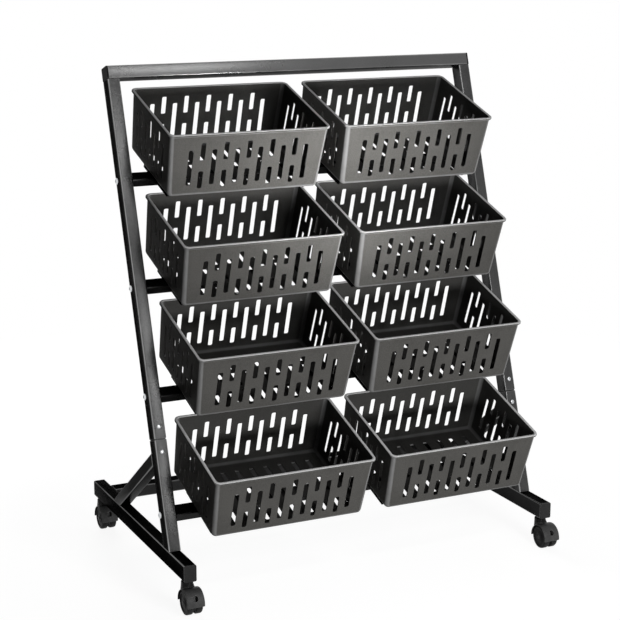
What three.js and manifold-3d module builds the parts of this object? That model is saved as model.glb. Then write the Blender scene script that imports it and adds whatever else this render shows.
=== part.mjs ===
// A market stall rack for fruit and vegetables: two leaning side frames on casters, four
// sloping shelves of two slotted plastic baskets each, and a top bar.
// Millimetres. X runs across the rack, the front is at -Y, and the floor is at z = 0.
import * as THREE from 'three';
import { mergeVertices } from 'three/addons/utils/BufferGeometryUtils.js';
import Module from 'manifold-3d';

const wasm = await Module();
wasm.setup();

// the rack as a whole
const leanAngle = 18.2; // degrees that the uprights lean back
const shelfAngle = 18.2; // degrees that the basket floors fall towards the front
const seatPlay = 0.3; // play where one piece rests on another or fits in it
const overrun = 5; // how far a cutting shape runs past the faces that it cuts
const trimBlock = 160; // edge of the block that trims the end of a slanted tube
const trimSpare = 30; // length that a slanted tube has to spare before it is trimmed

// tubes
const tube = { wide: 30, deep: 40, wall: 1.5, corner: 3 }; // rails and uprights
const rail = { length: 656, ahead: 94 }; // ahead: from the uprights' feet to its front end
const uprightSeam = 266; // along the front face, from the rail up
const topBar = { tall: 32 }; // as deep as the uprights
const brace = { tall: 30, footBack: 380, headUp: 220 }; // where its axis meets rail, upright
const rearBar = { tall: 30, deep: 40, inset: 47 }; // inset from the rear end of the rails
const endCap = { plate: 3, plug: 12 }; // closes an open tube end
const sleeve = { length: 160, wall: 1.5 }; // inside the joint of an upright

// shelf crossbars and the arms that carry the baskets
const level = { lowest: 88, firstExtra: 22, aboveBasket: 98, count: 4, belowTop: 244 };
const crossbar = { deep: 40, thick: 20, wall: 1.5, corner: 2.5, behindFront: 20, plug: 22 };
const arm = { thick: 5, tall: 18, fromFront: 36, fromRear: 63, fromSide: 16.5, nose: 6 };
const tab = { rise: 11, top: 6, base: 16, play: 3 }; // stands up through the basket floor

// baskets
const basket = { wide: 415, long: 283, tall: 162, wall: 2.5, floor: 3, corner: 12 };
const basketLip = { wide: 5, tall: 6 };
const basketTaper = { wide: 8, long: 2, floorRound: 12 }; // on each side, and at the floor edge
const basketPlace = { gap: 39, fromUpright: 35.5, behindBar: 8.5 }; // gap: between the two
const slot = { wide: 12, pitch: 29.5, columns: 11 }; // in the front and rear walls
const longSlotShares = { top: 0.26, foot: 0.82 }; // of the basket's height, from the rim down
const highSlotShares = { top: 0.15, foot: 0.43 };
const lowSlotShares = { top: 0.6, foot: 0.875 };
const sideSlot = { wide: 12, pitch: 59, columns: 3 };
const floorSlot = { wide: 14, fromEdge: 39.5, pitch: 88, columns: 3 };

// fasteners
const sideBolt = { head: 8, headTall: 4.5, shank: 3, grip: 16, behindFront: 28 };
const jointBolt = { head: 5.5, headTall: 3, shank: 3, long: 12, fromSeam: 30 };
const crownShare = 0.7; // of a bolt head's radius, where its crown turns flat

// casters
const caster = { headroom: 14, fromEnd: 24, trail: 26 }; // headroom: from its hood to the rail
const wheel = { radius: 29, wide: 15.5, chamfer: 3, fromMiddle: 3.75, axle: 4, play: 0.5 };
const hood = { play: 1.6, thick: 2.4, wide: 44, web: 5, hub: 9, sweepAngle: 190, axleEnd: 1 };
const boss = { radius: 13, foot: 17, pinFoot: 21 }; // above the axle
const stem = { radius: 5, rise: 20, collar: 11, collarTall: 4, pin: 4, pinLong: 20 };

// counts for round shapes
const cornerSegments = 1; // two flats to a quarter round
const shaftSides = 8;
const wheelSides = 16;
const hoodSegments = 5; // two flats to each

// what follows from these
const degree = Math.PI / 180;
const quarterTurn = Math.PI / 2;
const wheelBay = wheel.radius + hood.play; // inner radius of a caster's hood
const mountHeight = wheel.radius + wheelBay + hood.thick + caster.headroom;
const railTop = mountHeight + tube.deep;
const stemInset = caster.fromEnd - endCap.plate; // from the end of the rail's tube
const innerWidth = 2 * (basket.wide + basketPlace.fromUpright) + basketPlace.gap;
const rackWidth = innerWidth + 2 * tube.wide; // over the outer faces of the two side frames
const sideX = rackWidth / 2 - tube.wide / 2;
const lean = leanAngle * degree;
const tilt = shelfAngle * degree;
const levelPitch = basket.tall + level.aboveBasket; // along the uprights
const bottomPitch = levelPitch + level.firstExtra; // from the lowest shelf to the next
const highestLevel = level.lowest + bottomPitch + (level.count - 2) * levelPitch;
const uprightLength = highestLevel + level.belowTop;

// colours and looks
const blackPaint = { color: 0x1a1a1c, roughness: 0.42, metalness: 0.25 };
const blackPlastic = { color: 0x232326, roughness: 0.5, metalness: 0 };
const basketPlastic = { color: 0x2b2b2e, roughness: 0.45, metalness: 0 };
const zinc = { color: 0xc3c5c8, roughness: 0.32, metalness: 0.9 };
const tread = { color: 0x161618, roughness: 0.7, metalness: 0 };

// Turns a closed three.js geometry into a solid for joining and cutting.
function solid(geometry) {
  const bare = geometry.clone();
  bare.deleteAttribute('normal');
  bare.deleteAttribute('uv');
  const merged = mergeVertices(bare);
  return new wasm.Manifold(new wasm.Mesh({
    numProp: 3,
    vertProperties: new Float32Array(merged.attributes.position.array),
    triVerts: new Uint32Array(merged.index.array),
  }));
}

// Turns a solid back into a geometry with flat faces.
function faceted(body) {
  const mesh = body.getMesh();
  const indexed = new THREE.BufferGeometry();
  indexed.setAttribute('position', new THREE.BufferAttribute(mesh.vertProperties, 3));
  indexed.setIndex(new THREE.BufferAttribute(mesh.triVerts, 1));
  const flat = indexed.toNonIndexed();
  flat.computeVertexNormals();
  return flat;
}

function join(geometries) {
  return faceted(wasm.Manifold.union(geometries.map(solid)));
}

function cut(geometry, tools) {
  return faceted(solid(geometry).subtract(wasm.Manifold.union(tools.map(solid))));
}

function box(sizeX, sizeY, sizeZ, x = 0, y = 0, z = 0) {
  return new THREE.BoxGeometry(sizeX, sizeY, sizeZ).translate(x, y, z);
}

// The outline of a rectangle with rounded corners, centred on the origin.
function roundedRectangle(wide, tall, corner) {
  const x = wide / 2 - corner;
  const y = tall / 2 - corner;
  const outline = new THREE.Shape();
  outline.absarc(x, y, corner, 0, quarterTurn);
  outline.absarc(-x, y, corner, quarterTurn, 2 * quarterTurn);
  outline.absarc(-x, -y, corner, 2 * quarterTurn, 3 * quarterTurn);
  outline.absarc(x, -y, corner, 3 * quarterTurn, 4 * quarterTurn);
  outline.closePath();
  return outline;
}

function extrude(shape, depth, curveSegments = cornerSegments) {
  return new THREE.ExtrudeGeometry(shape, { depth, bevelEnabled: false, curveSegments });
}

// A hollow tube along +Z from z = 0, centred on its axis.
function hollowTube(length, wide, deep, wall, corner) {
  const boreLength = length + 2 * overrun;
  const bore = box(wide - 2 * wall, deep - 2 * wall, boreLength, 0, 0, length / 2);
  return cut(extrude(roundedRectangle(wide, deep, corner), length), [bore]);
}

// A profile drawn in (y, z) and given a thickness along X, centred on x = 0.
function profileAcross(shape, thickness, curveSegments) {
  const plate = extrude(shape, thickness, curveSegments);
  plate.rotateX(quarterTurn).rotateZ(quarterTurn);
  return plate.translate(-thickness / 2, 0, 0);
}

// A tube that runs across the rack: tall in z, deep in y, centred on x = 0.
function crossTube(length, tall, deep, wall, corner) {
  const across = hollowTube(length, tall, deep, wall, corner).translate(0, 0, -length / 2);
  return across.rotateY(quarterTurn);
}

// A shape turned about +Z from points (radius, height) that run from the foot up.
function turned(points, sides, startAngle = 0) {
  const profile = points.map(([radius, height]) => new THREE.Vector2(radius, height));
  return new THREE.LatheGeometry(profile, sides, startAngle).rotateX(quarterTurn);
}

// The radius of a hole with flats that a round shaft fits with the seat play all round.
function holeFor(shaft) {
  return (shaft + seatPlay) / Math.cos(Math.PI / shaftSides);
}

function drillX(radius, length, y, z, x = 0) {
  const drill = new THREE.CylinderGeometry(radius, radius, length, shaftSides);
  return drill.rotateZ(quarterTurn).translate(x, y, z);
}

function drillY(radius, length, y, z) {
  return new THREE.CylinderGeometry(radius, radius, length, shaftSides).translate(0, y, z);
}

// A cylinder that stands on z = foot.
function post(radius, foot, head) {
  const standing = new THREE.CylinderGeometry(radius, radius, head - foot, shaftSides);
  return standing.rotateX(quarterTurn).translate(0, 0, (head + foot) / 2);
}

// A button-head bolt with its head above z = 0 and its shank below.
function boltGeometry(size, long) {
  const shankPoints = [[0, -long], [size.shank, -long], [size.shank, 0]];
  const crown = [size.head * crownShare, size.headTall];
  return turned([...shankPoints, [size.head, 0], crown, [0, size.headTall]], shaftSides);
}

const sides = [['left', -1], ['right', 1]];

const rack = new THREE.Group();
rack.name = 'fruit_and_vegetable_rack';

function addPiece(parent, name, geometry, look, x = 0, y = 0, z = 0) {
  const mesh = new THREE.Mesh(geometry, new THREE.MeshStandardMaterial(look));
  mesh.name = name;
  mesh.position.set(x, y, z);
  parent.add(mesh);
  return mesh;
}

function addGroup(parent, x, y, z, turnX = 0) {
  const group = new THREE.Group();
  group.position.set(x, y, z);
  group.rotation.x = turnX;
  parent.add(group);
  return group;
}

// side frames
// Places of the shelves along the uprights, from the top one down to the lowest.
const levelPlaces = [];
for (let index = 0; index < level.count - 1; index += 1) {
  levelPlaces.push(highestLevel - index * levelPitch);
}
levelPlaces.push(level.lowest);

// A plastic cap for a tube end: a plate over the end, facing +Z, and a plug in the bore.
function capGeometry(wide, deep) {
  const plate = extrude(roundedRectangle(wide, deep, tube.corner), endCap.plate);
  const margin = 2 * (tube.wall + seatPlay);
  const plugLength = endCap.plug + endCap.plate / 2;
  const plugZ = (endCap.plate - plugLength) / 2;
  const plug = box(wide - margin, deep - margin, plugLength, 0, 0, plugZ);
  return join([plate, plug]);
}

// One length of upright in the leaning frame: y = 0 is its front face.
function uprightGeometry(foot, head, boltPlace) {
  const body = hollowTube(head - foot, tube.wide, tube.deep, tube.wall, tube.corner);
  body.translate(0, tube.deep / 2, foot);
  const sideHoles = levelPlaces.filter((up) => up > foot && up < head).map((up) => (
    drillX(holeFor(sideBolt.shank), tube.wide + 2 * overrun, sideBolt.behindFront, up)));
  const frontHole = drillY(holeFor(jointBolt.shank), 2 * overrun, 0, boltPlace);
  return cut(body, [...sideHoles, frontHole]);
}

// Where the brace's axis meets the rear face of the upright, seen from its own foot.
const headY = brace.headUp * Math.sin(lean) + tube.deep * Math.cos(lean);
const headZ = brace.headUp * Math.cos(lean) - tube.deep * Math.sin(lean);
const braceRun = brace.footBack - headY;
const braceLength = Math.hypot(braceRun, headZ);
const braceTurn = quarterTurn - Math.atan2(headZ, braceRun);

function braceGeometry() {
  const spareLength = braceLength + 2 * trimSpare;
  const body = hollowTube(spareLength, tube.wide, brace.tall, tube.wall, tube.corner);
  const railBlock = box(trimBlock, trimBlock, trimBlock, 0, 0, seatPlay - trimBlock / 2);
  railBlock.rotateX(-braceTurn);
  const uprightBlock = box(trimBlock, trimBlock, trimBlock, 0, seatPlay - trimBlock / 2, 0);
  uprightBlock.rotateX(-braceTurn - lean).translate(0, 0, braceLength);
  return cut(body.translate(0, 0, -trimSpare), [railBlock, uprightBlock]);
}

function sleeveGeometry() {
  const wide = tube.wide - 2 * (tube.wall + seatPlay);
  const deep = tube.deep - 2 * (tube.wall + seatPlay);
  const body = hollowTube(sleeve.length, wide, deep, sleeve.wall, tube.corner - tube.wall);
  body.translate(0, tube.deep / 2, uprightSeam - sleeve.length / 2);
  const drills = [jointBolt.fromSeam, -jointBolt.fromSeam].map((up) => (
    drillY(holeFor(jointBolt.shank), 2 * overrun, 0, uprightSeam + up)));
  return cut(body, drills);
}

function buildSideFrame(side, x) {
  const railZ = railTop - tube.deep / 2;
  const frame = addGroup(rack, x, 0, 0);
  const railBody = hollowTube(rail.length, tube.wide, tube.deep, tube.wall, tube.corner);
  const stemDrills = [stemInset, rail.length - stemInset].map((along) => (
    drillY(holeFor(stem.radius), 2 * overrun, tube.deep / 2, along)));
  const railGeometry = cut(railBody, stemDrills).rotateX(-quarterTurn);
  addPiece(frame, `base_rail_${side}`, railGeometry, blackPaint, 0, -rail.ahead, railZ);

  const cap = capGeometry(tube.wide, tube.deep);
  const frontCap = cap.clone().rotateX(quarterTurn);
  const rearCap = cap.clone().rotateX(-quarterTurn);
  const frontY = -rail.ahead - seatPlay;
  const rearY = rail.length - rail.ahead + seatPlay;
  addPiece(frame, `rail_end_cap_front_${side}`, frontCap, blackPlastic, 0, frontY, railZ);
  addPiece(frame, `rail_end_cap_rear_${side}`, rearCap, blackPlastic, 0, rearY, railZ);

  const leaning = addGroup(frame, 0, 0, railTop, -lean);
  const footBlock = box(trimBlock, trimBlock, trimBlock, 0, 0, seatPlay - trimBlock / 2);
  footBlock.rotateX(lean);
  const lower = uprightGeometry(-trimSpare, uprightSeam, uprightSeam - jointBolt.fromSeam);
  addPiece(leaning, `upright_lower_${side}`, cut(lower, [footBlock]), blackPaint);
  const upperFoot = uprightSeam + seatPlay;
  const upperHead = uprightLength - seatPlay;
  const upper = uprightGeometry(upperFoot, upperHead, uprightSeam + jointBolt.fromSeam);
  addPiece(leaning, `upright_upper_${side}`, upper, blackPaint);
  addPiece(leaning, `joint_sleeve_${side}`, sleeveGeometry(), blackPaint);
  for (const [where, up] of [['lower', -jointBolt.fromSeam], ['upper', jointBolt.fromSeam]]) {
    const bolt = boltGeometry(jointBolt, jointBolt.long).rotateX(quarterTurn);
    addPiece(leaning, `joint_bolt_${where}_${side}`, bolt, zinc, 0, -seatPlay, uprightSeam + up);
  }

  const braceFrame = addGroup(frame, 0, brace.footBack, railTop, braceTurn);
  addPiece(braceFrame, `rear_brace_${side}`, braceGeometry(), blackPaint);
}

// baskets
// One ring of a basket's surface: a rounded rectangle at a height.
function ring(wide, long, corner, height) {
  const points = roundedRectangle(wide, long, corner).getPoints(cornerSegments);
  const unrepeated = points.slice(0, -1); // the last point closes the outline
  return unrepeated.map((point) => new THREE.Vector3(point.x, point.y, height));
}

// A closed solid through rings that have as many points each, from the foot up.
function loft(rings) {
  const count = rings[0].length;
  const positions = rings.flat().flatMap((point) => point.toArray());
  const triangles = [];
  for (let row = 0; row < rings.length - 1; row += 1) {
    for (let column = 0; column < count; column += 1) {
      const next = (column + 1) % count;
      const [a, b] = [row * count + column, row * count + next];
      triangles.push(a, b, b + count, a, b + count, a + count);
    }
  }
  const last = (rings.length - 1) * count;
  for (let column = 1; column < count - 1; column += 1) {
    triangles.push(0, column + 1, column, last, last + column, last + column + 1);
  }
  const surface = new THREE.BufferGeometry();
  surface.setAttribute('position', new THREE.Float32BufferAttribute(positions, 3));
  surface.setIndex(triangles);
  return surface;
}

// The tub of a basket, a little narrower at the floor, with a lip round its mouth.
const neckHeight = basket.tall - basketLip.tall;
const floorWide = basket.wide - 2 * (basketLip.wide + basketTaper.wide);
const floorLong = basket.long - 2 * (basketLip.wide + basketTaper.long);

function wallRing(height, inset) {
  const share = height / neckHeight;
  const wide = floorWide + 2 * basketTaper.wide * share - 2 * inset;
  const long = floorLong + 2 * basketTaper.long * share - 2 * inset;
  return ring(wide, long, Math.max(basket.corner - inset, basket.wall), height);
}

function tubGeometry() {
  const round = basketTaper.floorRound;
  const soft = round * (1 - Math.SQRT1_2);
  const outer = loft([
    wallRing(0, round),
    wallRing(soft, soft),
    wallRing(round, 0),
    wallRing(neckHeight, 0),
    wallRing(neckHeight, -basketLip.wide),
    ring(basket.wide, basket.long, basket.corner + basketLip.wide, basket.tall),
  ]);
  const inner = loft([
    wallRing(basket.floor, round),
    wallRing(round, basket.wall),
    wallRing(basket.tall + overrun, basket.wall),
  ]);
  return cut(outer, [inner]);
}

// A row of places with one pitch, centred on zero.
function spread(count, pitch) {
  return Array.from({ length: count }, (_, index) => (index - (count - 1) / 2) * pitch);
}

function wallSlots() {
  const tools = [];
  const through = basket.long + 2 * overrun;
  const addSlot = (sizeX, sizeY, x, y, shares) => {
    const tall = (shares.foot - shares.top) * basket.tall;
    const z = basket.tall - (shares.foot + shares.top) * basket.tall / 2;
    tools.push(box(sizeX, sizeY, tall, x, y, z));
  };
  spread(slot.columns, slot.pitch).forEach((x, column) => {
    const shares = column % 2 === 0 ? [longSlotShares] : [highSlotShares, lowSlotShares];
    shares.forEach((ends) => addSlot(slot.wide, through, x, 0, ends));
  });
  for (const y of spread(sideSlot.columns, sideSlot.pitch)) {
    addSlot(basket.wide + 2 * overrun, sideSlot.wide, 0, y, longSlotShares);
  }
  return tools;
}

// Where the arms stand on either side of a basket's middle, and how far from the crossbar's
// axis they reach forward and back.
const armX = floorWide / 2 - arm.fromSide;
const armTip = floorLong / 2 - basketPlace.behindBar - arm.fromFront;
const armTail = floorLong / 2 + basketPlace.behindBar - arm.fromRear;

function floorSlots() {
  const tools = [];
  const deepEnough = 2 * basket.floor + 2 * overrun;
  const slotLong = floorLong - 2 * floorSlot.fromEdge;
  for (const x of spread(floorSlot.columns, floorSlot.pitch)) {
    tools.push(box(floorSlot.wide, slotLong, deepEnough, x, 0, 0));
  }
  const tabY = tab.base / 2 - armTip - basketPlace.behindBar;
  for (const x of [-armX, armX]) {
    tools.push(box(arm.thick + 2 * tab.play, tab.base + 2 * tab.play, deepEnough, x, tabY, 0));
  }
  return tools;
}

const basketGeometry = cut(tubGeometry(), [...wallSlots(), ...floorSlots()]);

// shelf crossbars with their arms
const halfDeep = crossbar.deep / 2;
const barTop = crossbar.thick / 2;

function armOutline(tip, withTab) {
  const root = halfDeep - crossbar.wall / 2;
  const outline = new THREE.Shape();
  outline.moveTo(root, barTop - arm.tall);
  if (withTab) {
    outline.lineTo(tip - arm.nose, barTop - arm.tall);
    outline.lineTo(tip, barTop - arm.tall + arm.nose);
    outline.lineTo(tip, barTop + tab.rise);
    outline.lineTo(tip - tab.top, barTop + tab.rise);
    outline.lineTo(tip - tab.base, barTop);
  } else {
    outline.lineTo(tip, barTop - arm.tall);
    outline.lineTo(tip, barTop);
  }
  outline.lineTo(root, barTop);
  outline.closePath();
  return outline;
}

const basketX = (basket.wide + basketPlace.gap) / 2;
const barLength = innerWidth - 2 * seatPlay;
const boltShift = sideBolt.behindFront - crossbar.behindFront;
const boltY = boltShift * Math.cos(lean + tilt);
const boltZ = -boltShift * Math.sin(lean + tilt);

function crossbarGeometry() {
  const { thick, deep, wall, corner, plug } = crossbar;
  const pieces = [crossTube(barLength, thick, deep, wall, corner)];
  const plugX = (barLength - plug) / 2;
  for (const x of [-plugX, plugX]) {
    pieces.push(box(plug, deep - wall, thick - wall, x, 0, 0));
  }
  const front = profileAcross(armOutline(armTip, true), arm.thick).rotateZ(Math.PI);
  const rear = profileAcross(armOutline(armTail, false), arm.thick);
  for (const middle of [-basketX, basketX]) {
    for (const x of [middle - armX, middle + armX]) {
      pieces.push(front.clone().translate(x, 0, 0), rear.clone().translate(x, 0, 0));
    }
  }
  const drills = [-plugX, plugX].map((x) => (
    drillX(holeFor(sideBolt.shank), plug + 2 * overrun, boltY, boltZ, x)));
  return cut(join(pieces), drills);
}

const shelfBarGeometry = crossbarGeometry();
const sideBoltGeometry = boltGeometry(sideBolt, tube.wide + sideBolt.grip);

function buildShelf(place, number) {
  const y = place * Math.sin(lean) + crossbar.behindFront * Math.cos(lean);
  const z = railTop + place * Math.cos(lean) - crossbar.behindFront * Math.sin(lean);
  const shelf = addGroup(rack, 0, y, z, tilt);
  addPiece(shelf, `shelf_crossbar_${number}`, shelfBarGeometry.clone(), blackPaint);
  for (const [side, sign] of sides) {
    const bolt = sideBoltGeometry.clone().rotateY(sign * quarterTurn);
    const boltX = sign * (rackWidth / 2 + seatPlay);
    addPiece(shelf, `crossbar_bolt_${number}_${side}`, bolt, zinc, boltX, boltY, boltZ);
    const tub = addPiece(shelf, `basket_${number}_${side}`, basketGeometry.clone(), basketPlastic);
    tub.position.set(sign * basketX, basketPlace.behindBar, barTop + seatPlay);
  }
}

// casters
// The middle of the axle, seen from the stem's axis at floor height.
const axle = { y: -caster.trail, z: wheel.radius };

function hoodOutline(outerRadius, innerRadius) {
  const start = (Math.PI - hood.sweepAngle * degree) / 2;
  const end = Math.PI - start;
  const outline = new THREE.Shape();
  outline.absarc(0, 0, outerRadius, start, end, false);
  outline.absarc(0, 0, innerRadius, end, start, true);
  outline.closePath();
  return outline;
}

function housingGeometry() {
  const shellOutline = hoodOutline(wheelBay + hood.thick, wheelBay);
  const shell = profileAcross(shellOutline, hood.wide, hoodSegments);
  const webRadius = wheelBay + hood.thick / 2;
  const web = profileAcross(hoodOutline(webRadius, hood.hub / 2), hood.web, hoodSegments);
  const hub = drillX(hood.hub, hood.web, 0, 0);
  const axleBody = drillX(wheel.axle, hood.wide - 2 * hood.axleEnd, 0, 0);
  const bossTop = mountHeight - 2 * seatPlay - stem.collarTall;
  const bayRadius = wheelBay + hood.thick / 2;
  const bay = new THREE.CylinderGeometry(bayRadius, bayRadius, hood.wide, 4 * hoodSegments);
  bay.rotateZ(quarterTurn).translate(0, axle.y, axle.z);
  const upperBoss = cut(post(boss.radius, axle.z + boss.foot, bossTop), [bay]);
  const wheelCase = join([shell, web, hub, axleBody]).translate(0, axle.y, axle.z);
  const pinHole = post(holeFor(stem.pin), axle.z + boss.pinFoot, bossTop + overrun);
  return cut(join([wheelCase, upperBoss]), [pinHole]);
}

// A wheel with flats, one of them level at the very foot.
function wheelGeometry() {
  const flat = wheel.radius / Math.cos(Math.PI / wheelSides);
  const bore = wheel.axle + wheel.play;
  const inner = -wheel.wide / 2;
  const outer = wheel.wide / 2;
  const profile = [
    [bore, inner],
    [flat, inner],
    [flat, outer - wheel.chamfer],
    [flat - wheel.chamfer, outer],
    [bore, outer],
    [bore, inner],
  ];
  return turned(profile, wheelSides, Math.PI / wheelSides);
}

function stemGeometry() {
  const collarTop = mountHeight - seatPlay;
  const collarFoot = collarTop - stem.collarTall;
  return turned([
    [0, collarFoot - stem.pinLong],
    [stem.pin, collarFoot - stem.pinLong],
    [stem.pin, collarFoot],
    [stem.collar, collarFoot],
    [stem.collar, collarTop],
    [stem.radius, collarTop],
    [stem.radius, collarTop + stem.rise],
    [0, collarTop + stem.rise],
  ], shaftSides);
}

const casterHousing = housingGeometry();
const casterWheel = wheelGeometry();
const casterStem = stemGeometry();

function buildCaster(corner, x, y) {
  const group = addGroup(rack, x, y, 0);
  addPiece(group, `caster_stem_${corner}`, casterStem.clone(), zinc);
  addPiece(group, `caster_housing_${corner}`, casterHousing.clone(), blackPlastic);
  for (const [where, sign] of sides) {
    const geometry = casterWheel.clone().rotateY(sign * quarterTurn);
    const wheelX = sign * (wheel.fromMiddle + wheel.wide / 2);
    addPiece(group, `caster_wheel_${corner}_${where}`, geometry, tread, wheelX, axle.y, axle.z);
  }
}

// the whole rack
for (const [side, sign] of sides) {
  buildSideFrame(side, sign * sideX);
  const frontY = stemInset - rail.ahead;
  const rearY = rail.length - rail.ahead - stemInset;
  buildCaster(`front_${side}`, sign * sideX, frontY);
  buildCaster(`rear_${side}`, sign * sideX, rearY);
}

const leaningTop = addGroup(rack, 0, 0, railTop, -lean);
const topBarLength = rackWidth - 2 * (endCap.plate + seatPlay);
const topBarGeometry = crossTube(topBarLength, topBar.tall, tube.deep, tube.wall, tube.corner);
const topBarZ = uprightLength + topBar.tall / 2;
addPiece(leaningTop, 'top_bar', topBarGeometry, blackPaint, 0, tube.deep / 2, topBarZ);
for (const [side, sign] of sides) {
  const cap = capGeometry(topBar.tall, tube.deep).rotateY(sign * quarterTurn);
  const capX = sign * (topBarLength / 2 + seatPlay);
  addPiece(leaningTop, `top_bar_end_cap_${side}`, cap, blackPlastic, capX, tube.deep / 2, topBarZ);
}

const rearBarGeometry = crossTube(barLength, rearBar.tall, rearBar.deep, tube.wall, tube.corner);
const rearBarY = rail.length - rail.ahead - rearBar.inset - rearBar.deep / 2;
const rearBarZ = railTop - rearBar.tall / 2;
addPiece(rack, 'rear_base_crossbar', rearBarGeometry, blackPaint, 0, rearBarY, rearBarZ);

levelPlaces.forEach((place, index) => buildShelf(place, index + 1));

// The rack's own origin is the middle of its footprint, on the floor.
rack.updateMatrixWorld(true);
const extent = new THREE.Box3().setFromObject(rack, true);
rack.position.y = -(extent.min.y + extent.max.y) / 2;

export default rack;
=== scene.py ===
"""Looks of a market stall rack: painted tube frame, slotted plastic baskets and twin-wheel casters.

Metres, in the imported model's frame: X across the rack, the front at -Y, the floor at z = 0.
"""

import math

import bmesh
import bpy
from mathutils import Matrix, Vector


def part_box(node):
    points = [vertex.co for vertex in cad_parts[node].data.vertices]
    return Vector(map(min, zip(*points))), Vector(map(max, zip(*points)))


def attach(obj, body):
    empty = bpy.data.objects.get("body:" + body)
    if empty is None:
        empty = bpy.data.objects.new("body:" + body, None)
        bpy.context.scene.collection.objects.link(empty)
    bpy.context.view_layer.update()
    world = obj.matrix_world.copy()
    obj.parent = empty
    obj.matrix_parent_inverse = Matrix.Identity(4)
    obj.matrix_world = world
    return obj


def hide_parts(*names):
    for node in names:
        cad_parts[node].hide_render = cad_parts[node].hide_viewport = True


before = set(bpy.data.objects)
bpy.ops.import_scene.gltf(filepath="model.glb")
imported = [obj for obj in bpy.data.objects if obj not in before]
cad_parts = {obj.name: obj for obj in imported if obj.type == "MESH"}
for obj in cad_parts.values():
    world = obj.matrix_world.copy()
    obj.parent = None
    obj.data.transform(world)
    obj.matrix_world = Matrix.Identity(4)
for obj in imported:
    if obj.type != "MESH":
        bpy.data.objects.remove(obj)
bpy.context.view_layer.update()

SIDES = (("left", -1), ("right", 1))
ROWS = range(1, 5)
CASTERS = [f"{end}_{side}" for end in ("front", "rear") for side, _ in SIDES]
BASKETS = [f"basket_{row}_{side}" for row in ROWS for side, _ in SIDES]

SLIVER = 0.000002  # edges shorter than this are closed up after a cut
SOFT_ANGLE, TURNED_SOFT_ANGLE = math.radians(35), math.radians(40)  # edges up to this are shaded smooth

# camera, fitted to the corners of frame and baskets
CAMERA_PLACE = (-1.7341, -3.5703, 1.5323)
CAMERA_TARGET = (-0.0315, 0.0, 0.6080)
CAMERA_LENS_MM, SENSOR_MM, CAMERA_REACH = 93.78, 36.0, 100

# angles of the frame
LEAN = math.radians(18.2)  # uprights lean back
TILT = math.radians(18.2)  # basket floors fall to the front
BRACE_TURN = math.radians(54.28)  # braces lean forward, up to the upright

# frame tubes
TUBE_WALL, TUBE_CORNER, TUBE_SOFT = 0.0015, 0.003, 0.001
TUBE_LEAST_CORNER, TOP_BAR_CORNER = 0.0008, 0.0038
TUBE_CORNER_STEPS, TUBE_SOFT_STEPS = 5, 3
JOINT_GAP = 0.0012  # each half of the upright stops this far short, so that the joint shows as a seam

# baskets
BASKET_WIDE, BASKET_LONG, BASKET_TALL = 0.415, 0.283, 0.162
LIP_WIDE, LIP_TALL, LIP_SOFT, LIP_SOFT_STEPS = 0.005, 0.006, 0.0018, 3
TAPER_WIDE, TAPER_LONG = 0.008, 0.002
FLOOR_ROUND, FLOOR_THICK, WALL_THICK, FLOOR_ROUND_STEPS = 0.012, 0.003, 0.0025, 5
CORNER_ROUND, LEAST_CORNER_ROUND, CORNER_STEPS = 0.012, 0.003, 8
SLOT_WIDE, SLOT_PITCH, SLOT_COLUMNS, SIDE_SLOT_COLUMNS = 0.012, 0.0295, 11, 7
SLOT_ROUND, SLOT_ROUND_STEPS = 0.0034, 3
LONG_SLOT = (0.0421, 0.1328)  # top and foot, measured down from the rim
HIGH_SLOT = (0.0243, 0.0697)
LOW_SLOT = (0.0972, 0.1418)
FLOOR_SLOT_WIDE, FLOOR_SLOT_LONG, FLOOR_SLOT_GAP = 0.012, 0.058, 0.014
FLOOR_SLOT_PITCH, FLOOR_SLOT_COLUMNS, FLOOR_SLOT_ROWS = 1.3 * SLOT_PITCH, 9, 3
TAB_SLOT_WIDE, TAB_SLOT_LONG, TAB_SLOT_X, TAB_SLOT_Y = 0.011, 0.022, 0.178, -0.0905
WALL_OVERRUN, FLOOR_CUT_DEEP = 0.02, 0.03  # the slot cutters reach past the walls and the floor
NECK = BASKET_TALL - LIP_TALL  # height of the wall under the lip
FLOOR_WIDE = BASKET_WIDE - 2 * (LIP_WIDE + TAPER_WIDE)
FLOOR_LONG = BASKET_LONG - 2 * (LIP_WIDE + TAPER_LONG)

# caster wheels: a face's points are (radius, depth under it), a rim's (drop below the tread, depth)
WHEEL_RADIUS, WHEEL_WIDE, WHEEL_STEPS = 0.029, 0.0155, 64
AXLE_RADIUS, AXLE_INSET, AXLE_STEPS = 0.004, 0.001, 32
AXLE_SOFT_DROP, AXLE_SOFT_LONG = 0.0006, 0.0008
BORE_GAP, BORE_SOFT_WIDE, BORE_SOFT_DEEP = 0.0005, 0.0003, 0.0006
INNER_FACE = ((0.009, 0.0), (0.0095, 0.002), (0.024, 0.002), (0.0245, 0.0))
INNER_RIM = ((0.0025, 0.0), (0.0007, 0.0007), (0.0, 0.0025))
OUTER_RIM = ((0.0, 0.0035), (0.001, 0.0012), (0.0035, 0.0))
GROOVE = ((0.0235, 0.0), (0.0225, 0.0018), (0.0215, 0.0022))
DISH = ((0.0115, 0.0012), (0.0105, 0.0002), (0.0095, 0.0))

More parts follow.
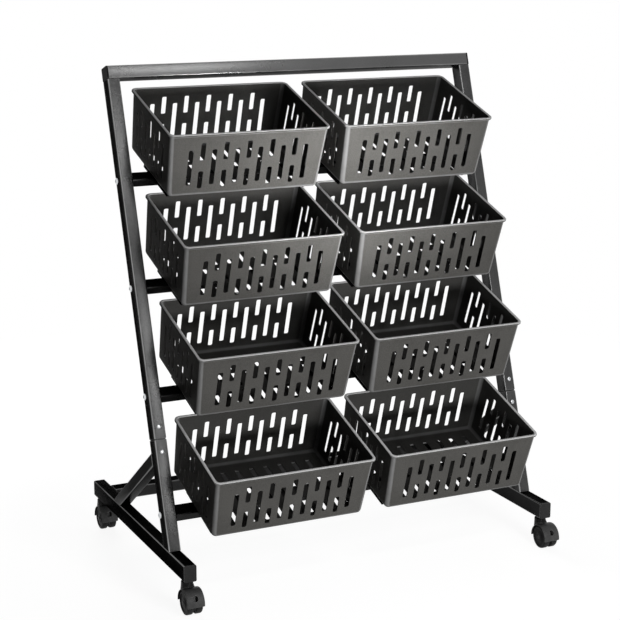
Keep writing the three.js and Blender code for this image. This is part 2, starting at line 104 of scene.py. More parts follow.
# caster housings
HOOD_INNER, HOOD_OUTER, HOOD_WIDE, HOOD_INSET = 0.0306, 0.0330, 0.044, 0.001
HOOD_SWEEP, HOOD_STEPS = math.radians(190), 36
SHOULDER, SHOULDER_DROP_SHARE, SHOULDER_STEPS = 0.006, 0.35, 4
WEB_WIDE, WEB_OVERLAP, HUB_RADIUS, HUB_STEPS = 0.005, 0.001, 0.009, 12
BOSS_RADIUS, BOSS_FOOT, BOSS_EDGE, BOSS_STEPS, BOSS_LEVELS = 0.0138, 0.017, 0.0012, 12, 8
FLARE_WIDE, FLARE_AHEAD, FLARE_BEHIND = 0.041, 0.020, 0.036  # the boss's foot, seen from the axle
BAY_GAP, BAY_STEPS, STEM_BORE_RADIUS, STEM_BORE_STEPS = 0.0006, 64, 0.0045, 24
NOTCH_WIDE, NOTCH_TALL, NOTCH_DEEP, NOTCH_RISE = 0.012, 0.014, 0.018, math.radians(32)
NOTCH_CORNER, NOTCH_CORNER_STEPS = 0.005, 4

# bolts: radius and height of the head, radius and length of the shank
SIDE_BOLT = (0.008, 0.0045, 0.003, 0.046)
JOINT_BOLT = (0.0055, 0.003, 0.003, 0.012)
BOLT_STEPS, CROWN_STEPS = 36, 5
CROWN_EDGE_SHARE, CROWN_TIP_SHARE = 0.25, 0.1  # of the head's height, and of its radius
SOCKET_RADIUS_SHARE, SOCKET_CUT_SHARE = 0.42, 1.3  # of its radius, and of its height, half of it above

# surfaces: ENDS are the places of a ramp's two ends, the others are its (place, value) stops
CLOUD_ENDS, SPECKLE_ENDS, GLOSS_ENDS = (0.3, 0.7), (0.35, 0.65), (0.25, 0.75)
EDGE_STOPS, EDGE_PATCHES = [(0.86, 1.0), (0.99, 0.0)], [(0.35, 0.25), (0.65, 1.0)]
CORNER_STOPS, CORNER_PATCHES = [(0.22, 0.0), (0.48, 1.0)], [(0.3, 0.55), (0.65, 1.0)]
CLOUD_NOISE, SPECKLE_NOISE, GRAIN_NOISE = (6.0, 0.6), (2.0, 0.7), (3.0, 0.55)  # detail and roughness
SPECKLE_SCALE, GRAIN_STRENGTH, BEVEL_SAMPLES = 420.0, 0.35, 4
# a painted highlight along the top of the baskets' rims
RIM_PAINTED_HIGHLIGHT = (BASKET_TALL - 0.0014, BASKET_TALL - 0.0002, 0.70)  # where it starts and is full, and its grey
BASKET_INSIDE_PAINTED_SHADE = (0.3, 0.55, 0.02)  # painted shade inside: a height that the inner sides face, the shade's share and its grey
# painted shade on the casters' necks, above a height over the axle
BOSS_NECK_PAINTED_SHADE = (0.0326, 0.0334, 0.004)  # heights over the axle where it starts and is full, and its grey

# stage and room
FLOOR_REACH, FLOOR_TONE, BOUNCE_TONE, ROOM_STRENGTH = 200.0, 0.9, 0.25, 0.03
FADE_START, FADE_END = 0.8, 2.4  # distances from the rack's middle; past the second the floor only glows
SHARE_NEAR, GLOW_NEAR = 0.70, 1.30  # the glow's share in the floor's look under the rack, and its strength


# shapes
def new_object(name, mesh):
    thing = bpy.data.objects.new(name, mesh)
    bpy.context.scene.collection.objects.link(thing)
    return thing


def mesh_from(bm, name):
    mesh = bpy.data.meshes.new(name)
    bmesh.ops.recalc_face_normals(bm, faces=bm.faces)
    bm.to_mesh(mesh)
    bm.free()
    return mesh


def smooth(mesh, angle=SOFT_ANGLE):
    for polygon in mesh.polygons:
        polygon.use_smooth = True
    mesh.set_sharp_from_angle(angle=angle)


def evaluated_mesh(thing, name):
    """A plain copy of the object's mesh, modifiers applied and slivers closed; the object goes away."""
    depsgraph = bpy.context.evaluated_depsgraph_get()
    mesh = bpy.data.meshes.new_from_object(thing.evaluated_get(depsgraph))
    mesh.name = name
    bpy.data.objects.remove(thing)
    bm = bmesh.new()
    bm.from_mesh(mesh)
    bmesh.ops.dissolve_degenerate(bm, dist=SLIVER, edges=bm.edges)
    bm.to_mesh(mesh)
    bm.free()
    return mesh


def combined_mesh(body, tool, operation, name):
    """The body's mesh with the tool's taken away (DIFFERENCE) or fused on (UNION)."""
    thing, other = new_object(name, body), new_object("tool", tool)
    modifier = thing.modifiers.new("combine", "BOOLEAN")
    modifier.operation, modifier.solver, modifier.object = operation, "EXACT", other
    mesh = evaluated_mesh(thing, name)
    bpy.data.objects.remove(other)
    return mesh


def cut_mesh(body, tool, name):
    return combined_mesh(body, tool, "DIFFERENCE", name)


def rounded_rectangle(wide, long, corner, steps):
    """Points of a rounded rectangle in XY, anticlockwise."""
    points = []
    half_x, half_y = wide / 2 - corner, long / 2 - corner
    for quarter, (sx, sy) in enumerate(((1, 1), (-1, 1), (-1, -1), (1, -1))):
        for step in range(steps + 1):
            angle = (quarter + step / steps) * math.pi / 2
            points.append((sx * half_x + corner * math.cos(angle), sy * half_y + corner * math.sin(angle)))
    return points


def arc_steps(count):
    """(sine, cosine) of even steps over a quarter turn."""
    return [(math.sin(a), math.cos(a)) for a in (math.pi / 2 * step / count for step in range(count + 1))]


def about_x(along, radius, angle):
    """A point at that radius and angle about the X axis."""
    return along, radius * math.cos(angle), radius * math.sin(angle)


def add_ring(bm, points):
    return [bm.verts.new(point) for point in points]


def bridge(bm, lower, upper):
    count = len(lower)
    for index in range(count):
        following = (index + 1) % count
        bm.faces.new((lower[index], lower[following], upper[following], upper[index]))


def bridge_all(bm, rings):
    for lower, upper in zip(rings, rings[1:]):
        bridge(bm, lower, upper)


def add_prism(bm, outline, direction, depth):
    """A prism on a closed outline of points, centred on it and `depth` long."""
    half = Vector(direction) * depth / 2
    lower = add_ring(bm, [Vector(point) - half for point in outline])
    upper = add_ring(bm, [Vector(point) + half for point in outline])
    bridge(bm, lower, upper)
    bm.faces.new(list(reversed(lower)))
    bm.faces.new(upper)


def lathe(profile, steps, name, axis="X"):
    """A turned mesh from (radius, along) points.

    Radius 0 closes an end, and a profile may end where it starts.
    """
    bm = bmesh.new()
    rings = []
    closed = profile[0] == profile[-1]
    for radius, along in profile[:-1] if closed else profile:
        angles = [2 * math.pi * step / steps for step in range(1 if radius == 0 else steps)]
        rings.append(add_ring(bm, [about_x(along, radius, angle) for angle in angles]))
    if closed:
        rings.append(rings[0])
    for lower, upper in zip(rings, rings[1:]):
        if len(lower) == 1 or len(upper) == 1:
            tip, ring = (lower[0], upper) if len(lower) == 1 else (upper[0], lower)
            for index in range(steps):
                bm.faces.new((tip, ring[index], ring[(index + 1) % steps]))
        else:
            bridge(bm, lower, upper)
    mesh = mesh_from(bm, name)
    if axis == "Z":
        mesh.transform(Matrix.Rotation(-math.pi / 2, 4, "Y"))
    return mesh


def local_frame(node, turn):
    """Matrix of a frame turned about X by `turn`, at a CAD node's foot and middle, and its size there."""
    back = Matrix.Rotation(-turn, 4, "X")
    corners = [back @ vertex.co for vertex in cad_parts[node].data.vertices]
    low = Vector(min(c[axis] for c in corners) for axis in range(3))
    high = Vector(max(c[axis] for c in corners) for axis in range(3))
    foot = Vector(((low.x + high.x) / 2, (low.y + high.y) / 2, low.z))
    return Matrix.Rotation(turn, 4, "X") @ Matrix.Translation(foot), high - low


def middle(box):
    """The middle of a box given by its low and high corners."""
    low, high = box
    return [(a + b) / 2 for a, b in zip(low, high)]


def facing(sign):
    """The turn of a shape modelled for the right side (+X) onto the side of that sign."""
    return Matrix.Identity(4) if sign > 0 else Matrix.Rotation(math.pi, 4, "Z")


# nodes of a material
def node_material(name):
    material = bpy.data.materials.new(name)
    material.use_nodes = True
    tree = material.node_tree
    return material, tree.nodes, tree.links, tree.nodes["Principled BSDF"]


def grey(value, tint=(1.0, 1.0, 1.0)):
    return (value * tint[0], value * tint[1], value * tint[2], 1)


def add_node(nodes, kind, **values):
    """A new node with its settings and input values; an underscore in an input's key stands for a space."""
    node = nodes.new(kind)
    for key, value in values.items():
        if hasattr(node, key):
            setattr(node, key, value)
        else:
            node.inputs[key.replace("_", " ")].default_value = value
    return node


def feed(node, links, *sources):
    """Gives a node's first inputs their sockets, in order, and returns the node."""
    for socket, source in zip(node.inputs, sources):
        links.new(source, socket)
    return node


def maths(nodes, links, operation, *terms):
    """The result of a Math node on sockets or plain numbers."""
    node = add_node(nodes, "ShaderNodeMath", operation=operation)
    for socket, term in zip(node.inputs, terms):
        if isinstance(term, float):
            socket.default_value = term
        else:
            links.new(term, socket)
    return node.outputs["Value"]


def vector_maths(nodes, links, operation, *sources):
    return feed(add_node(nodes, "ShaderNodeVectorMath", operation=operation), links, *sources)


def noise(nodes, links, place, scale, kind):
    detail, roughness = kind
    node = add_node(nodes, "ShaderNodeTexNoise", Scale=scale, Detail=detail, Roughness=roughness)
    return feed(node, links, place).outputs["Fac"]


def ramp(nodes, links, factor, stops):
    """The factor through a colour ramp of two stops, each (place, grey value or colour)."""
    node = feed(add_node(nodes, "ShaderNodeValToRGB"), links, factor)
    for element, (place, value) in zip(node.color_ramp.elements, stops):
        element.position = place
        element.color = value if isinstance(value, tuple) else grey(value)
    return node.outputs["Color"]


def fade(nodes, links, value, start, end, low=0.0, high=1.0):
    """Runs from low to high while the value runs from start to end, and stays there beyond them."""
    node = add_node(nodes, "ShaderNodeMapRange", From_Min=start, From_Max=end, To_Min=low, To_Max=high)
    return feed(node, links, value).outputs["Result"]


def mixed(nodes, links, factor, colour, tone):
    """A colour that turns into a plain grey where the factor is 1."""
    node = add_node(nodes, "ShaderNodeMix", data_type="RGBA")
    links.new(factor, node.inputs["Factor"])
    links.new(colour, node.inputs["A"])
    node.inputs["B"].default_value = grey(tone)
    return node.outputs["Result"]


def mixed_shaders(nodes, links, factor, first, second):
    return feed(add_node(nodes, "ShaderNodeMixShader"), links, factor, first, second).outputs["Shader"]


# wear and painted light of a surface
def edge_wear_and_highlight(nodes, links, rounded, cloud):
    """1 where the rounded normal leans away from the face, broken up by the cloud: edges lightened by wear
    and as a painted highlight.
    """
    geometry = add_node(nodes, "ShaderNodeNewGeometry")
    straight = vector_maths(nodes, links, "DOT_PRODUCT", rounded, geometry.outputs["True Normal"])
    edge = ramp(nodes, links, straight.outputs["Value"], EDGE_STOPS)
    return maths(nodes, links, "MULTIPLY", edge, ramp(nodes, links, cloud, EDGE_PATCHES))


def corner_highlight(nodes, links, normal, cloud, turn):
    """1 along the middle of a rounded corner, 0 on flat walls square to axes turned about X by `turn`:
    where a highlight is painted.
    """
    rotate = add_node(nodes, "ShaderNodeVectorRotate", rotation_type="X_AXIS", Angle=-turn)
    turned = feed(rotate, links, normal).outputs["Vector"]
    apart = feed(add_node(nodes, "ShaderNodeSeparateXYZ"), links, turned)
    x, y, z = (apart.outputs[axis] for axis in "XYZ")
    slants = [maths(nodes, links, "ABSOLUTE", maths(nodes, links, "MULTIPLY", first, second))
              for first, second in ((x, y), (y, z), (z, x))]
    total = maths(nodes, links, "ADD", maths(nodes, links, "ADD", slants[0], slants[1]), slants[2])
    band = ramp(nodes, links, total, CORNER_STOPS)
    return maths(nodes, links, "MULTIPLY", band, ramp(nodes, links, cloud, CORNER_PATCHES))


def facing_inwards(nodes, links, place, normal, height):
    """1 on a tub's inner sides, which face the point at that height over its middle, 0 outside: where shade
    is painted.
    """
    outwards = add_node(nodes, "ShaderNodeVectorMath", operation="SUBTRACT")
    outwards.inputs[1].default_value = (0, 0, height)
    feed(outwards, links, place)
    turned = vector_maths(nodes, links, "DOT_PRODUCT", outwards.outputs["Vector"], normal)
    return maths(nodes, links, "LESS_THAN", turned.outputs["Value"], 0.0)


def above(nodes, links, place, low, high):
    """1 above the upper of two heights, 0 below the lower one."""
    apart = feed(add_node(nodes, "ShaderNodeSeparateXYZ"), links, place)
    return fade(nodes, links, apart.outputs["Z"], low, high)


def speckled_colour(nodes, links, place, cloud, base, spread, tint, speckle):
    """Cloudy light and dark patches under fine speckles."""
    ends = (grey(base - spread, tint), grey(base + spread, tint))
    tone = ramp(nodes, links, cloud, zip(CLOUD_ENDS, ends))
    grains = noise(nodes, links, place, SPECKLE_SCALE, SPECKLE_NOISE)
    flecks = ramp(nodes, links, grains, zip(SPECKLE_ENDS, (1.0 - speckle, 1.0 + speckle)))
    return vector_maths(nodes, links, "MULTIPLY", tone, flecks).outputs["Vector"]


def textured(name, base, spread, rough, rough_spread, grain_scale, grain_depth, metallic=0.0,
             specular=0.5, specular_tint=1.0, tint=(1.0, 1.0, 1.0), cloud_scale=9.0, speckle=0.15,
             edge_radius=0.0008, edge_tone=None, corner_tone=None, corner_turn=0.0, inside=None, rim=None):
    """A painted or moulded surface: cloudy and speckled colour, grain, rounded edges, wear and painted
    light.

    The edge tone is the grey of edges lightened by wear and a painted highlight, the corner tone that
    of a painted highlight down rounded corners. `inside` is the height that a tub's inner sides face,
    the share of painted shade on them and its grey; `rim` is the heights where another grey starts and
    is full, which paints a highlight or shade.
    """
    material, nodes, links, shader = node_material(name)
    coordinates = add_node(nodes, "ShaderNodeTexCoord")
    place, normal = coordinates.outputs["Object"], coordinates.outputs["Normal"]
    cloud = noise(nodes, links, place, cloud_scale, CLOUD_NOISE)
    gloss = ramp(nodes, links, cloud, zip(GLOSS_ENDS, (rough - rough_spread, rough + rough_spread)))
    links.new(gloss, shader.inputs["Roughness"])
    bevel = add_node(nodes, "ShaderNodeBevel", samples=BEVEL_SAMPLES, Radius=edge_radius)
    rounded = bevel.outputs["Normal"]

    colour = speckled_colour(nodes, links, place, cloud, base, spread, tint, speckle)
    # edges lightened, partly by wear and partly as a painted highlight
    if edge_tone:
        colour = mixed(nodes, links, edge_wear_and_highlight(nodes, links, rounded, cloud), colour, edge_tone)
    # a painted highlight down the middle of rounded corners
    if corner_tone:
        corner_highlit = corner_highlight(nodes, links, normal, cloud, corner_turn)
        colour = mixed(nodes, links, corner_highlit, colour, corner_tone)
    # painted shade on a tub's inner sides
    if inside:
        height, share, painted_shade_grey = inside
        painted_shade_mask = maths(nodes, links, "MULTIPLY", facing_inwards(nodes, links, place, normal, height), share)
        colour = mixed(nodes, links, painted_shade_mask, colour, painted_shade_grey)
    # a grey above a height: a painted highlight on the baskets' rims, painted shade on the casters' necks
    if rim:
        low, high, tone = rim
        colour = mixed(nodes, links, above(nodes, links, place, low, high), colour, tone)
    links.new(colour, shader.inputs["Base Color"])

    grain = noise(nodes, links, place, grain_scale, GRAIN_NOISE)
    bump = add_node(nodes, "ShaderNodeBump", Strength=GRAIN_STRENGTH, Distance=grain_depth)
    links.new(grain, bump.inputs["Height"])
    links.new(rounded, bump.inputs["Normal"])
    links.new(bump.outputs["Normal"], shader.inputs["Normal"])
    shader.inputs["Metallic"].default_value = metallic
    shader.inputs["Specular IOR Level"].default_value = specular
    shader.inputs["Specular Tint"].default_value = grey(specular_tint)
    return material


# materials
def paint(name, base, **details):
    """Dark paint on steel: a dim metal, in which lamps show softly."""
    usual = dict(spread=0.005, rough=0.28, rough_spread=0.04, grain_scale=900.0, grain_depth=0.0003,
                 metallic=1.0, specular_tint=0.24, edge_radius=0.0006)
    return textured(name, base, **{**usual, **details})


def plastic(name, base, **details):
    """Dark moulded plastic, dull at any angle."""
    usual = dict(spread=0.005, rough=0.45, rough_spread=0.05, grain_scale=1300.0, grain_depth=0.0002,
                 specular=0.02)
    return textured(name, base, **{**usual, **details})


def bare_metal(name, base, **details):
    usual = dict(grain_depth=0.0001, metallic=1.0, edge_radius=0.0004, speckle=0.05)
    return textured(name, base, **{**usual, **details})


# One black paint in copies of different tone that stand in for light and shade: the uprights' and the top
# bar's copies are lighter, painted light; the rails', braces' and other parts' copies are darker, painted
# shade.
PAINT = paint("black_frame_paint", 0.022, edge_radius=0.0010, edge_tone=0.12)
TUBE_PAINT_LIT = paint("frame_tube_paint_lit", 0.060, spread=0.010, corner_tone=0.30)
BAR_PAINT_LIT = paint("top_bar_paint_lit", 0.098, rough_spread=0.02, grain_depth=0.00015, specular_tint=0.30,
                  corner_tone=0.22, corner_turn=-LEAN, speckle=0.06)
RAIL_PAINT_SHADED = paint("rail_paint_shaded", 0.022, rough=0.30, rough_spread=0.05, corner_tone=0.20)
BRACE_PAINT_SHADED = paint("brace_paint_shaded", 0.022, rough=0.30, rough_spread=0.05, specular_tint=0.42,
                    corner_tone=0.20)

# the baskets' rims carry a painted highlight and their inner sides painted shade
BASKET = plastic("basket_plastic", 0.080, spread=0.008, grain_scale=1400.0, specular=0.006,
                 tint=(1.0, 0.975, 0.92), edge_radius=0.0009, edge_tone=0.14, corner_tone=0.24,
                 rim=RIM_PAINTED_HIGHLIGHT, inside=BASKET_INSIDE_PAINTED_SHADE)
CAP = plastic("top_cap_plastic", 0.008, spread=0.002, rough=0.5, grain_scale=1200.0, edge_tone=0.12)
RAIL_CAP = plastic("rail_cap_plastic", 0.028, grain_scale=1200.0, edge_tone=0.16)
# the casters' necks darkened above a height as painted shade
CASTER = plastic("caster_plastic", 0.052, spread=0.010, rough=0.32, specular=0.1, cloud_scale=30.0,
                 edge_radius=0.0012, edge_tone=0.26, rim=BOSS_NECK_PAINTED_SHADE)
WHEEL = plastic("wheel_plastic", 0.020, spread=0.004, rough=0.5, rough_spread=0.07, specular=0.06,
                cloud_scale=40.0, edge_tone=0.06)

STEEL = bare_metal("dark_steel", 0.05, spread=0.01, rough=0.35, rough_spread=0.05, grain_scale=1500.0,
                   specular_tint=0.4, cloud_scale=60.0)
ZINC = bare_metal("zinc_plate", 0.62, spread=0.06, rough=0.28, rough_spread=0.06, grain_scale=1800.0,
                  tint=(0.98, 1.0, 1.02), cloud_scale=120.0)


def dress(thing, material):
    thing.data.materials.clear()
    thing.data.materials.append(material)


def piece(name, mesh, matrix, material, body, replaced):
    """A finished piece of the rack, in place, on its body."""
    thing = new_object(name, mesh)
    thing.matrix_world = matrix
    if not mesh.materials:
        mesh.materials.append(material)
    bpy.context.view_layer.update()
    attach(thing, body)
    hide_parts(*replaced)


# frame tubes
def tube_mesh(length, wide, deep, foot=(0.0, 0.0), head=(0.0, 0.0), outer_corner=TUBE_CORNER):
    """A hollow tube along Z about its axis, with soft edges; an end is (drop at the axis, slope in Y)."""
    bm = bmesh.new()
    soft_edge = [(-TUBE_SOFT * (1 - sine), TUBE_SOFT * (1 - cosine))
                 for sine, cosine in arc_steps(TUBE_SOFT_STEPS)]
    profile = [(-TUBE_WALL, 0.0)] + soft_edge
    rings = []
    for at_head in (False, True):
        drop, slope = head if at_head else foot
        for outset, inset in (reversed(profile) if at_head else profile):
            corner = max(outer_corner + outset, TUBE_LEAST_CORNER)
            outline = rounded_rectangle(wide + 2 * outset, deep + 2 * outset, corner, TUBE_CORNER_STEPS)
            rings.append(add_ring(bm, [
                (x, y, length - drop + slope * y - inset if at_head else drop + slope * y + inset)
                for x, y in outline]))
    bridge_all(bm, rings + rings[:1])
    mesh = mesh_from(bm, "tube")
    smooth(mesh)
    return mesh


def tube_piece(name, mesh, matrix, material):
    piece(f"tube_{name}", mesh, matrix, material, "frame", (name,))


def build_upright(side):
    """The two halves of an upright, the lower one cut level at its foot."""
    slope = math.tan(LEAN)
    joint = (JOINT_GAP, 0.0)
    for name, slanted in ((f"upright_lower_{side}", True), (f"upright_upper_{side}", False)):
        matrix, size = local_frame(name, -LEAN)
        ends = ((size.y / 2 * slope, slope), joint) if slanted else (joint, (0.0, 0.0))
        tube_piece(name, tube_mesh(size.z, size.x, size.y, *ends), matrix, TUBE_PAINT_LIT)


def build_brace(side):
    """A brace, cut level at its foot and along the upright at its head."""
    name = f"rear_brace_{side}"
    matrix, size = local_frame(name, BRACE_TURN)
    foot_slope, head_slope = math.tan(BRACE_TURN), 1 / math.tan(BRACE_TURN + LEAN)
    foot, head = (size.y / 2 * foot_slope, -foot_slope), (size.y / 2 * head_slope, head_slope)
    tube_piece(name, tube_mesh(size.z, size.x, size.y, foot, head), matrix, BRACE_PAINT_SHADED)


def build_rail(side):
    name = f"base_rail_{side}"
    matrix, size = local_frame(name, 0.0)
    mesh = tube_mesh(size.y, size.x, size.z)
    mesh.transform(Matrix.Rotation(-math.pi / 2, 4, "X"))
    tube_piece(name, mesh, matrix @ Matrix.Translation((0, -size.y / 2, size.z / 2)), RAIL_PAINT_SHADED)


def build_bar(name, turn, corner, material):
    """A bar across the rack, turned in its mesh, so that its bound box holds no more than the bar."""
    matrix, size = local_frame(name, turn)
    mesh = tube_mesh(size.x, size.z, size.y, outer_corner=corner)
    along = Matrix.Rotation(turn, 4, "X") @ Matrix.Rotation(math.pi / 2, 4, "Y")
    mesh.transform(along @ Matrix.Translation((0, 0, -size.x / 2)))
    axis = matrix @ Matrix.Translation((0, 0, size.z / 2))
    tube_piece(name, mesh, Matrix.Translation(axis.translation), material)


def build_tubes():
    """Uprights, braces, rails and bars with round corners, each in the place of its CAD tube."""
    for side, _ in SIDES:
        build_upright(side)
        build_brace(side)
        build_rail(side)
    build_bar("top_bar", -LEAN, TOP_BAR_CORNER, BAR_PAINT_LIT)
    build_bar("rear_base_crossbar", 0.0, TUBE_CORNER, RAIL_PAINT_SHADED)


# baskets
def tub_ring(bm, height, outset):
    """One ring of the tub at a height, that far outside the nominal wall."""
    share = min(height, NECK) / NECK
    wide = FLOOR_WIDE + 2 * TAPER_WIDE * share + 2 * outset
    long = FLOOR_LONG + 2 * TAPER_LONG * share + 2 * outset
    corner = max(CORNER_ROUND + outset, LEAST_CORNER_ROUND)
    return add_ring(bm, [(x, y, height) for x, y in rounded_rectangle(wide, long, corner, CORNER_STEPS)])


def tub_profile():
    """(height, outset) of each ring, from the floor's underside over the lip to its top side."""
    floor_arc, lip_arc = arc_steps(FLOOR_ROUND_STEPS), arc_steps(LIP_SOFT_STEPS)
    soft, inner = LIP_SOFT, -WALL_THICK
    inner_round = FLOOR_ROUND - WALL_THICK
    top_of_round = FLOOR_THICK + inner_round
    profile = [(FLOOR_ROUND * (1 - cosine), -FLOOR_ROUND * (1 - sine)) for sine, cosine in floor_arc]
    profile += [(NECK - soft, 0.0), (NECK, soft), (NECK, LIP_WIDE - soft), (NECK + soft, LIP_WIDE)]
    profile += [(BASKET_TALL - soft * (1 - sine), LIP_WIDE - soft * (1 - cosine))
                for sine, cosine in lip_arc]
    profile += [(BASKET_TALL - soft * (1 - cosine), inner + soft * (1 - sine))
                for sine, cosine in lip_arc]
    profile += [(top_of_round - inner_round * sine, inner - inner_round * (1 - cosine))
                for sine, cosine in floor_arc]
    return profile


def tub_mesh():
    bm = bmesh.new()
    rings = [tub_ring(bm, height, outset) for height, outset in tub_profile()]
    bridge_all(bm, rings)
    bm.faces.new(reversed(rings[0]))
    bm.faces.new(rings[-1])
    return mesh_from(bm, "tub")


def spaced(count, pitch):
    """Places at an even pitch about 0."""
    return [(index - (count - 1) / 2) * pitch for index in range(count)]


def slot_outline(wide, tall, place, plane):
    """A round-cornered slot about a place in the XZ, YZ or XY plane."""
    points = rounded_rectangle(wide, tall, SLOT_ROUND, SLOT_ROUND_STEPS)
    across, up = place
    if plane == "XZ":
        return [(across + u, 0, up + v) for u, v in points]
    if plane == "YZ":
        return [(0, across + u, up + v) for u, v in points]
    return [(across + u, up + v, 0) for u, v in points]


def add_wall_slots(bm, plane, direction, through, columns):
    """Slots through two opposite walls: one long column, then a high and a low one, and so on."""
    for column, across in enumerate(spaced(columns, SLOT_PITCH)):
        slots = (LONG_SLOT,) if column % 2 == 0 else (HIGH_SLOT, LOW_SLOT)
        for top, foot in slots:
            place = (across, BASKET_TALL - (top + foot) / 2)
            add_prism(bm, slot_outline(SLOT_WIDE, foot - top, place, plane), direction, through)


def add_floor_slot(bm, wide, long, x, y):
    add_prism(bm, slot_outline(wide, long, (x, y), "XY"), (0, 0, 1), FLOOR_CUT_DEEP)


def slot_cutters():
    bm = bmesh.new()
    add_wall_slots(bm, "XZ", (0, 1, 0), BASKET_LONG + WALL_OVERRUN, SLOT_COLUMNS)
    add_wall_slots(bm, "YZ", (1, 0, 0), BASKET_WIDE + WALL_OVERRUN, SIDE_SLOT_COLUMNS)
    for x in spaced(FLOOR_SLOT_COLUMNS, FLOOR_SLOT_PITCH):
        for y in spaced(FLOOR_SLOT_ROWS, FLOOR_SLOT_LONG + FLOOR_SLOT_GAP):
            add_floor_slot(bm, FLOOR_SLOT_WIDE, FLOOR_SLOT_LONG, x, y)
    for x in (-TAB_SLOT_X, TAB_SLOT_X):
        add_floor_slot(bm, TAB_SLOT_WIDE, TAB_SLOT_LONG, x, TAB_SLOT_Y)
    return mesh_from(bm, "slot_cutters")


def build_baskets():
    """Eight slotted tubs with a soft lip, all from one mesh."""
    mesh = cut_mesh(tub_mesh(), slot_cutters(), "basket")
    smooth(mesh)
    for name in BASKETS:
        matrix, _ = local_frame(name, TILT)
        piece(f"slotted_{name}", mesh, matrix, BASKET, name, (name,))


# casters, about their axles
def hood_angles():
    """Even steps over the hood's sweep, from its rear edge over the top to its front edge."""
    start = (math.pi - HOOD_SWEEP) / 2
    return [start + HOOD_SWEEP * step / HOOD_STEPS for step in range(HOOD_STEPS + 1)]


def hood_mesh():
    """The hood, with rounded shoulders and a slot in its front."""
    bm = bmesh.new()
    half = HOOD_WIDE / 2
    shoulder = [(HOOD_OUTER - SHOULDER * (1 - cosine) * SHOULDER_DROP_SHARE, half - SHOULDER * (1 - sine))
                for sine, cosine in reversed(arc_steps(SHOULDER_STEPS))]
    section = [(HOOD_INNER, -half + HOOD_INSET), (HOOD_INNER, half - HOOD_INSET)]
    section += shoulder + [(radius, -x) for radius, x in reversed(shoulder)]
    rings = [add_ring(bm, [about_x(x, radius, angle) for radius, x in section]) for angle in hood_angles()]
    bridge_all(bm, rings)
    bm.faces.new(rings[0])
    bm.faces.new(list(reversed(rings[-1])))
    return cut_mesh(mesh_from(bm, "hood"), notch_mesh(), "hood")


def notch_mesh():
    """What is cut out of the hood's front, and out of the web behind it."""
    bm = bmesh.new()
    outline = rounded_rectangle(NOTCH_WIDE, NOTCH_TALL, NOTCH_CORNER, NOTCH_CORNER_STEPS)
    add_prism(bm, [(x, 0, z) for x, z in outline], (0, 1, 0), NOTCH_DEEP)
    notch = mesh_from(bm, "notch")
    notch.transform(Matrix.Rotation(-NOTCH_RISE, 4, "X") @ Matrix.Translation((0, -HOOD_OUTER, 0)))
    return notch


def web_mesh():
    """The middle web, which fills the hood down to the axle and goes round under it."""
    bm = bmesh.new()
    angles = hood_angles()
    outline = [about_x(0, HOOD_INNER + WEB_OVERLAP, angle) for angle in angles]
    start = angles[0]
    for step in range(HUB_STEPS + 1):
        angle = math.pi - start + (math.pi + 2 * start) * step / HUB_STEPS
        outline.append(about_x(0, HUB_RADIUS, angle))
    add_prism(bm, outline, (1, 0, 0), WEB_WIDE)
    return cut_mesh(mesh_from(bm, "web"), notch_mesh(), "web")


def boss_solid(trail, head):
    """The boss from its flared foot to its round head."""
    neck_wide, neck_round = 2 * BOSS_RADIUS, BOSS_RADIUS - BOSS_EDGE
    top_wide, top_round = 2 * (BOSS_RADIUS - BOSS_EDGE), BOSS_RADIUS - 2 * BOSS_EDGE
    flare_long, flare_round = FLARE_AHEAD + FLARE_BEHIND, FLARE_WIDE / 2 - BOSS_EDGE
    foot = [(x, y + (FLARE_BEHIND - FLARE_AHEAD) / 2)
            for x, y in rounded_rectangle(FLARE_WIDE, flare_long, flare_round, BOSS_STEPS)]
    neck = [(x, y + trail) for x, y in rounded_rectangle(neck_wide, neck_wide, neck_round, BOSS_STEPS)]
    top = [(x, y + trail) for x, y in rounded_rectangle(top_wide, top_wide, top_round, BOSS_STEPS)]
    bm = bmesh.new()
    rings = []
    for level in range(BOSS_LEVELS + 1):
        share = level / BOSS_LEVELS
        narrowed = 1 - (1 - share) ** 2
        height = BOSS_FOOT + (head - BOSS_EDGE - BOSS_FOOT) * share
        rings.append(add_ring(bm, [
            (low[0] + (high[0] - low[0]) * narrowed, low[1] + (high[1] - low[1]) * narrowed, height)
            for low, high in zip(foot, neck)]))
    rings.append(add_ring(bm, [(x, y, head) for x, y in top]))
    bridge_all(bm, rings)
    bm.faces.new(list(reversed(rings[0])))
    bm.faces.new(rings[-1])
    return mesh_from(bm, "boss")


def boss_mesh(trail, head):
    """The boss that holds the stem behind the axle, flared over the hood's back; z = 0 is the axle."""
    half = HOOD_WIDE / 2
    bay_radius = HOOD_INNER + BAY_GAP
    bay = lathe([(0, -half), (bay_radius, -half), (bay_radius, half), (0, half)], BAY_STEPS, "bay")
    bore_profile = [(0, 0), (STEM_BORE_RADIUS, 0), (STEM_BORE_RADIUS, 2 * head), (0, 2 * head)]
    bore = lathe(bore_profile, STEM_BORE_STEPS, "bore", "Z")
    bore.transform(Matrix.Translation((0, trail, 0)))
    return cut_mesh(cut_mesh(boss_solid(trail, head), bay, "boss"), bore, "boss")


def axle_mesh():
    end = HOOD_WIDE / 2 - AXLE_INSET
    narrow, soft = AXLE_RADIUS - AXLE_SOFT_DROP, end - AXLE_SOFT_LONG
    profile = [(0, -end), (narrow, -end), (AXLE_RADIUS, -soft)]
    profile += [(radius, -along) for radius, along in reversed(profile)]
    return lathe(profile, AXLE_STEPS, "axle")


